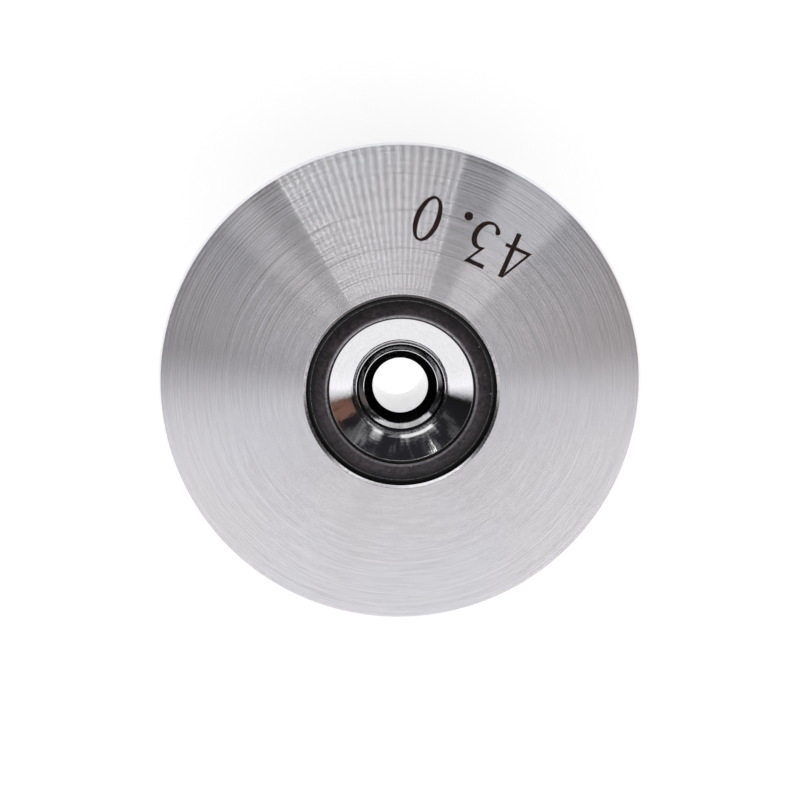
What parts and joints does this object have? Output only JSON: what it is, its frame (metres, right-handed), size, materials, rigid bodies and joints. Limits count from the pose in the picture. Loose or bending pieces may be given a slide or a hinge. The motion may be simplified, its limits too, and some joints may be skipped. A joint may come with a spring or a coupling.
{
  "type": "wire drawing die",
  "caption": "Round turned steel drawing die with a polished carbide nib set in its centre, tapering from a wide bell to a straight bore that sizes wire pulled through it.",
  "frame": {"origin": "centre of the back (exit) face, where the die rests", "axes": "+Z along the drawing axis from the exit face up to the entry face; +X and +Y across the face, to the right and up in the picture"},
  "size_m": [0.043, 0.043, 0.02],
  "materials": {
    "case_steel": "fine concentric turning lines, bright, with a matt black heat-scaled mouth",
    "nib_carbide": "mirror polished carbide"
  },
  "bodies": {
    "root": {"case": "case_steel", "nib": "nib_carbide"}
  },
  "joints": []
}
